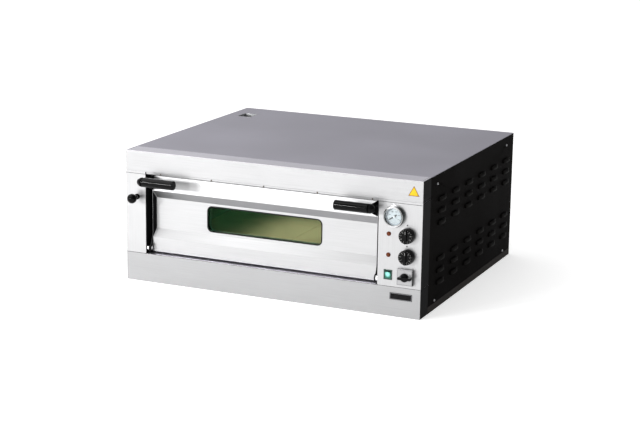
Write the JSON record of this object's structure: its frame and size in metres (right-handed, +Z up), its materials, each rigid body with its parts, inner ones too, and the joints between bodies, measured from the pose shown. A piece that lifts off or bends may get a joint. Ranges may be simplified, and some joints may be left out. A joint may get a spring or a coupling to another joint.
{
  "type": "countertop pizza oven",
  "caption": "Single-deck electric pizza oven with a drop-down windowed door, tiled deck, control panel, louvred sides and a roof vent.",
  "frame": {"origin": "underside of the cabinet, halfway across its width and halfway between its front and rear faces", "axes": "+X to the user's right as the user faces the door, +Y from the front to the back, +Z up"},
  "size_m": [0.989, 0.9206, 0.413],
  "materials": {
    "stainless": "satin brushed",
    "grey_paint": "semi-gloss",
    "black_paint": "satin",
    "galvanised": "spangled",
    "chamber_steel": "aluminised, dulled by heat",
    "firebrick": "fine rough",
    "rod_steel": "oxidised",
    "mineral_wool": "fibrous",
    "rope_seal": "braided glass fibre",
    "door_glass": "polished, green tint",
    "clear_glass": "polished",
    "gasket_rubber": "matt",
    "black_plastic": "polished",
    "bracket_paint": "satin",
    "chrome": "polished",
    "dial_white": "printed",
    "needle_black": "matt",
    "pilot_orange": "translucent",
    "rocker_green": "translucent, lit",
    "frame_green": "moulded",
    "ivory_plastic": "moulded",
    "lamp_ceramic": "fired",
    "badge_black": "plain",
    "sticker_yellow": "printed",
    "tray_paint": "dark satin paint",
    "zinc": "zinc plated"
  },
  "bodies": {
    "casing": {"hood_fascia": "stainless", "left_jamb": "stainless", "control_panel": "stainless", "lower_fascia": "stainless", "top_panel": "grey_paint", "left_side_panel": "black_paint", "right_side_panel": "black_paint", "rear_panel": "galvanised", "base_tray": "tray_paint", "support_brackets": "galvanised", "front_frame": "galvanised", "door_seal": "rope_seal", "chamber_floor": "chamber_steel", "chamber_side_walls": "chamber_steel", "chamber_back_wall": "chamber_steel", "chamber_roof": "chamber_steel", "deck_rails": "chamber_steel", "deck_tiles": "firebrick", "lower_heaters": "rod_steel", "upper_heaters": "rod_steel", "heater_rests": "chamber_steel", "insulation_slabs": "mineral_wool", "flue_duct": "galvanised", "vent_bush": "black_plastic", "sensor_bulbs": "zinc", "lamp_holder": "lamp_ceramic", "lamp_glass": "clear_glass", "thermometer_case": "zinc", "thermometer_dial": "dial_white", "thermometer_bezel": "chrome", "thermometer_glass": "clear_glass", "thermostat_bodies": "ivory_plastic", "indicator_lamps": "pilot_orange", "rocker_frame": "frame_green", "main_switch_body": "black_plastic", "main_switch_plate": "stainless", "terminal_block": "ivory_plastic", "cable_gland": "black_plastic", "badge_plate": "badge_black", "triangle_sticker": "sticker_yellow", "casing_screws": "zinc", "hood_screws": "zinc", "hinge_pins": "chrome"},
    "door": {"door_skin": "stainless", "door_pan": "stainless", "door_insulation": "mineral_wool", "door_outer_glass": "door_glass", "door_inner_glass": "door_glass", "window_gasket": "gasket_rubber", "handle_brackets": "bracket_paint", "left_grip": "black_plastic", "right_grip": "black_plastic", "hinge_ears": "bracket_paint"},
    "upper_thermostat": {"upper_knob": "black_plastic"},
    "lower_thermostat": {"lower_knob": "black_plastic"},
    "main_switch": {"main_switch_handle": "black_plastic"},
    "rocker": {"rocker_button": "rocker_green"},
    "needle": {"thermometer_needle": "needle_black"},
    "vent": {"vent_knob": "black_plastic", "vent_damper": "zinc"}
  },
  "joints": [
    {"name": "door_hinge", "type": "hinge", "parent": "casing", "child": "door", "pos_m": [-0.034, -0.408, 0.107], "axis": [1, 0, 0], "range_deg": [0, 88]},
    {"name": "upper_thermostat_turn", "type": "hinge", "parent": "casing", "child": "upper_thermostat", "pos_m": [0.446, -0.42, 0.249], "axis": [0, 1, 0], "range_deg": [0, 270]},
    {"name": "lower_thermostat_turn", "type": "hinge", "parent": "casing", "child": "lower_thermostat", "pos_m": [0.446, -0.42, 0.186], "axis": [0, 1, 0], "range_deg": [0, 270]},
    {"name": "main_switch_turn", "type": "hinge", "parent": "casing", "child": "main_switch", "pos_m": [0.443, -0.42, 0.125], "axis": [0, 1, 0], "range_deg": [0, 90]},
    {"name": "rocker_tilt", "type": "hinge", "parent": "casing", "child": "rocker", "pos_m": [0.387, -0.414, 0.125], "axis": [-1, 0, 0], "range_deg": [0, 14]},
    {"name": "needle_turn", "type": "hinge", "parent": "casing", "child": "needle", "pos_m": [0.404, -0.426, 0.302], "axis": [0, 1, 0], "range_deg": [0, 240]},
    {"name": "vent_slide", "type": "slide", "parent": "casing", "child": "vent", "axis": [0, -1, 0], "range_m": [0, 0.056]}
  ]
}
